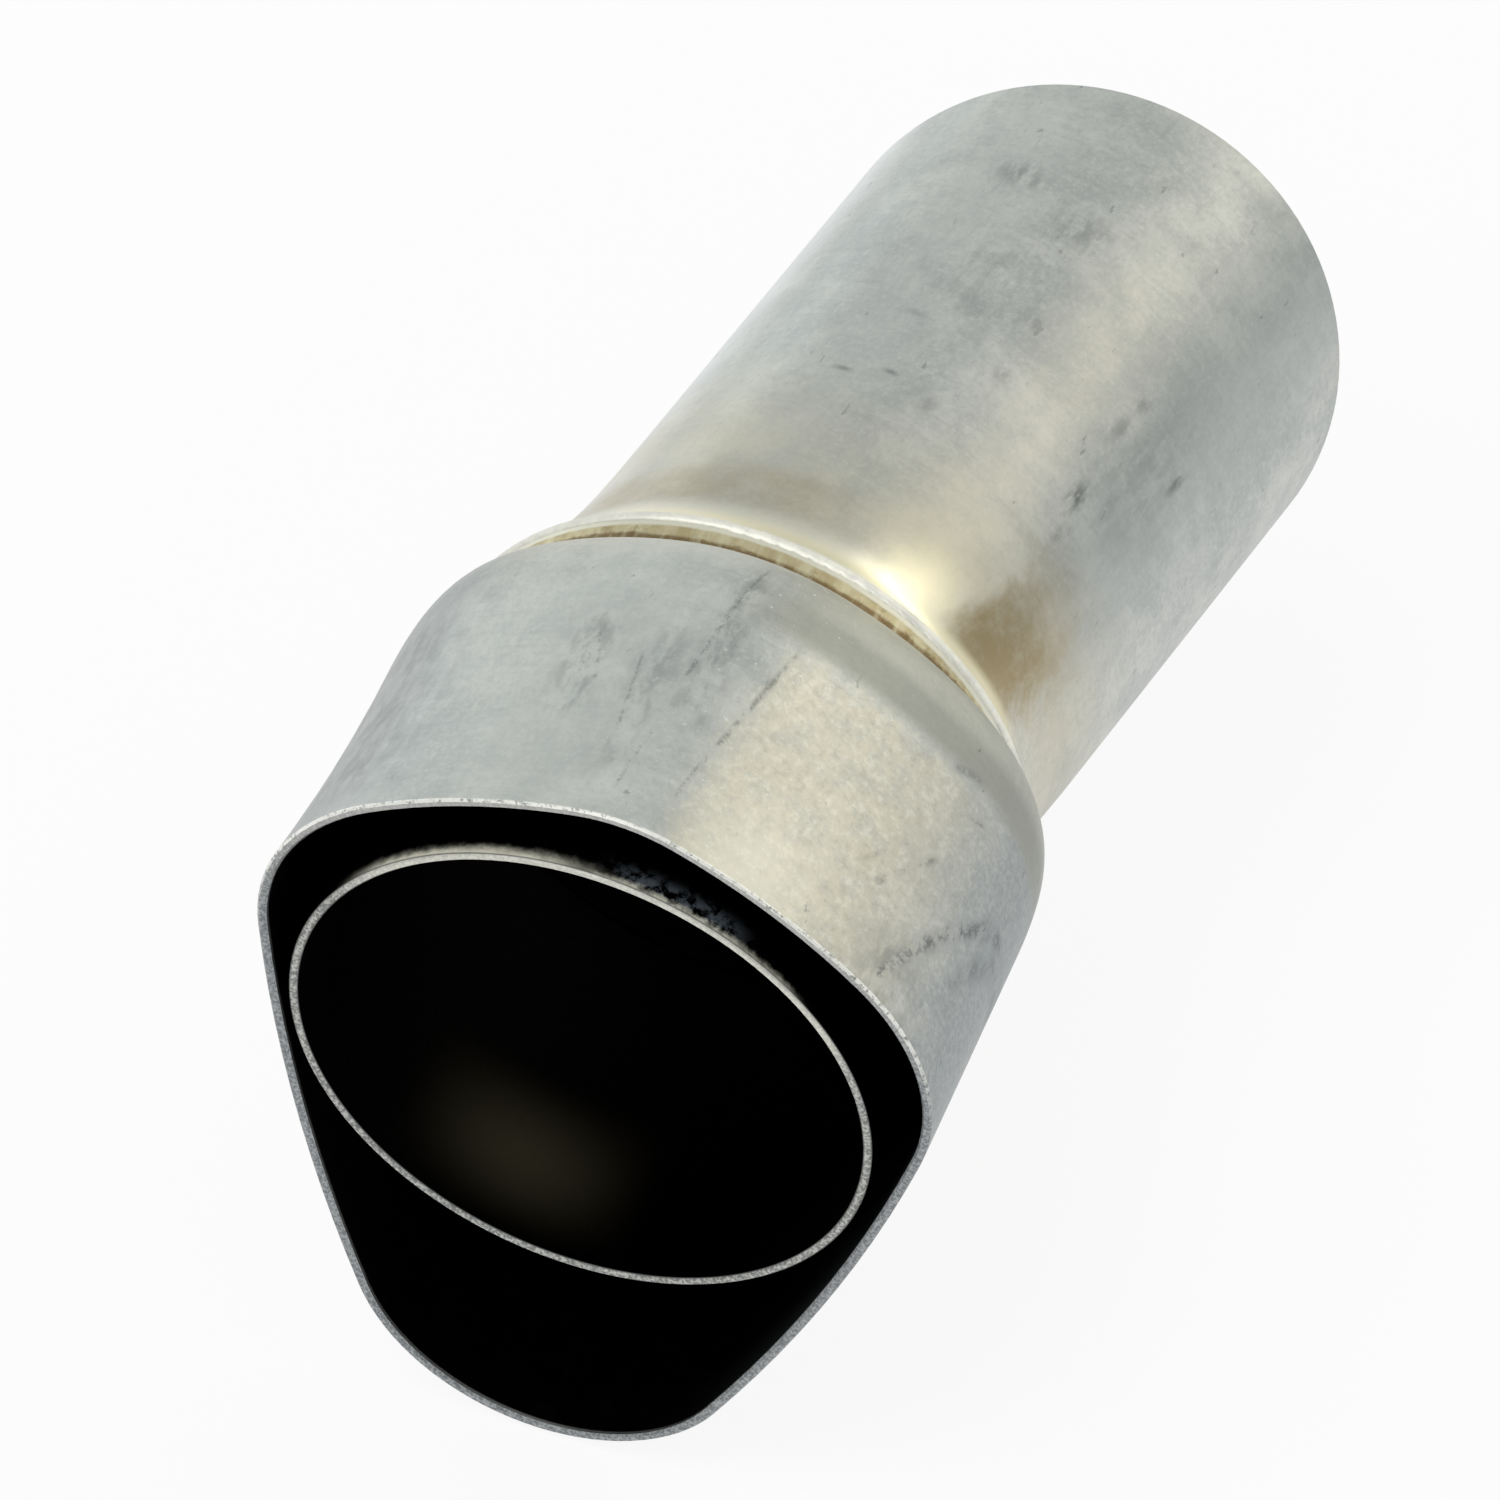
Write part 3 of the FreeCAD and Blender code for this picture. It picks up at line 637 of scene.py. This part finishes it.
def seam_finish():
    f = Finish("weld_seam_steel")
    tip, _, angle, _, high = f.round_axis(MOUTH, TIP_AXIS, TIP_SIDE)
    lip_run = f.math("SUBTRACT", tip, f.times(high, math.tan(LIP_LEAN)))
    edge_run = f.math("SUBTRACT", tip, f.times(high, math.tan(EDGE_LEAN)))
    spots = f.noise(f.point, 0.5, 5.0, 0.75)
    beads = f.noise(f.join_values(f.times(angle, 28.0), 0.0, f.times(tip, 0.3)), 0.5, 3.0, 0.6)
    base = f.between(f.rise(beads, 0.35, 0.65), (212, 205, 172), (186, 172, 134))
    base = f.paint(base, f.times(f.rise(spots, 0.52, 0.66), 0.45), (146, 128, 92))
    # A dark uneven line along the jacket's edge, brown oxide darkened further by painted shade in the gap,
    # and a pale one next to the lip, pale like the lip and partly a painted highlight
    low = f.plus(SEAM_START + 0.85, f.times(spots, 1.1))
    line = f.rise(f.math("SUBTRACT", edge_run, low), 0.25, -0.25)
    base = f.paint(base, f.times(line, f.rise(beads, 0.36, 0.52, 0.4, 0.85)), (114, 92, 60))
    pale = f.rise(f.plus(lip_run, f.times(spots, 0.4)), LIP_START - 0.45, LIP_START - 0.15)
    base = f.paint(base, pale, (228, 226, 210))
    normal = f.bump(f.plus(beads, f.times(spots, 0.6)), 0.12, 0.6)
    f.give(Base_Color=base, Roughness=f.plus(0.34, f.times(spots, 0.2)), Normal=normal, Metallic=1.0)
    return f.material


def dress(piece, material):
    piece.data.materials.clear()
    piece.data.materials.append(material)


def place_camera():
    azimuth = math.radians(CAMERA_AZIMUTH)
    height = math.radians(CAMERA_HEIGHT)
    look = Vector(
        (
            -math.sin(azimuth) * math.cos(height),
            math.cos(azimuth) * math.cos(height),
            -math.sin(height),
        )
    )
    right = look.cross(Vector((0.0, 0.0, 1.0))).normalized()
    up = right.cross(look)
    place = CORNER + CAMERA_SIDE * right + CAMERA_UP * up - CAMERA_DISTANCE * look
    data = bpy.data.cameras.new("camera")
    data.sensor_width = SENSOR
    data.lens = LENS
    data.clip_start = 0.05
    data.clip_end = 20.0
    camera = bpy.data.objects.new("camera", data)
    bpy.context.scene.collection.objects.link(camera)
    turn = Matrix((right, up, -look)).transposed().to_4x4()
    camera.matrix_world = Matrix.Translation(place * MM) @ turn
    bpy.context.scene.camera = camera


def lay_floor():
    half = FLOOR_HALF * MM
    z = FLOOR_HEIGHT * MM
    mesh = bpy.data.meshes.new("floor")
    corners = [(-half, -half, z), (half, -half, z), (half, half, z), (-half, half, z)]
    mesh.from_pydata(corners, [], [(0, 1, 2, 3)])
    floor = bpy.data.objects.new("floor", mesh)
    bpy.context.scene.collection.objects.link(floor)
    material = bpy.data.materials.new("floor")
    material.use_nodes = True
    tree = material.node_tree
    tree.nodes.clear()
    output = tree.nodes.new("ShaderNodeOutputMaterial")
    cloth = tree.nodes.new("ShaderNodeBsdfDiffuse")
    cloth.inputs["Color"].default_value = (0.86, 0.86, 0.86, 1.0)
    light = tree.nodes.new("ShaderNodeEmission")
    light.inputs["Strength"].default_value = 1.0
    path = tree.nodes.new("ShaderNodeLightPath")
    seen = tree.nodes.new("ShaderNodeMath")
    seen.operation = "MAXIMUM"
    tree.links.new(path.outputs["Is Camera Ray"], seen.inputs[0])
    tree.links.new(path.outputs["Is Glossy Ray"], seen.inputs[1])
    all_seen = tree.nodes.new("ShaderNodeMath")
    all_seen.operation = "MAXIMUM"
    tree.links.new(seen.outputs[0], all_seen.inputs[0])
    tree.links.new(path.outputs["Is Transmission Ray"], all_seen.inputs[1])
    share = tree.nodes.new("ShaderNodeMath")
    share.operation = "MULTIPLY"
    share.inputs[1].default_value = FLOOR_GLOW
    tree.links.new(all_seen.outputs[0], share.inputs[0])
    mix = tree.nodes.new("ShaderNodeMixShader")
    tree.links.new(share.outputs[0], mix.inputs[0])
    tree.links.new(cloth.outputs[0], mix.inputs[1])
    tree.links.new(light.outputs[0], mix.inputs[2])
    tree.links.new(mix.outputs[0], output.inputs["Surface"])
    mesh.materials.append(material)


def light_room():
    world = bpy.data.worlds.new("room")
    bpy.context.scene.world = world
    world.use_nodes = True
    tree = world.node_tree
    tree.nodes.clear()
    output = tree.nodes.new("ShaderNodeOutputWorld")
    room = tree.nodes.new("ShaderNodeBackground")
    room.inputs["Color"].default_value = (0.985, 1.0, 0.985, 1.0)
    room.inputs["Strength"].default_value = ROOM_LIGHT
    white = tree.nodes.new("ShaderNodeBackground")
    white.inputs["Color"].default_value = (1.0, 1.0, 1.0, 1.0)
    white.inputs["Strength"].default_value = 1.0
    path = tree.nodes.new("ShaderNodeLightPath")
    mix = tree.nodes.new("ShaderNodeMixShader")
    tree.links.new(path.outputs["Is Camera Ray"], mix.inputs[0])
    tree.links.new(room.outputs[0], mix.inputs[1])
    tree.links.new(white.outputs[0], mix.inputs[2])
    tree.links.new(mix.outputs[0], output.inputs["Surface"])


def add_lamp(name, direction, distance, size, glow, colour):
    """A soft lamp that shines on the middle of the part."""
    data = bpy.data.lights.new(name, "AREA")
    data.shape = "RECTANGLE"
    data.size = size[0] * MM
    data.size_y = size[1] * MM
    data.energy = glow * math.pi * data.size * data.size_y
    data.color = colour
    lamp = bpy.data.objects.new(name, data)
    bpy.context.scene.collection.objects.link(lamp)
    way = Vector(direction).normalized()
    lamp.location = (LAMP_AIM + distance * way) * MM
    lamp.rotation_euler = (-way).to_track_quat("-Z", "Y").to_euler()


clear_scene()
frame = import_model()
nodes = frame["nodes"]

place_camera()
lay_floor()
light_room()
for lamp in LAMPS:
    add_lamp(*lamp)

dress(nodes["inlet_tube"], tube_finish())
dress(nodes["outlet_jacket"], jacket_finish())
dress(nodes["inner_outlet_pipe"], pipe_finish())
dress(nodes["weld_seam"], seam_finish())

scene = bpy.context.scene
scene.view_settings.view_transform = "Standard"
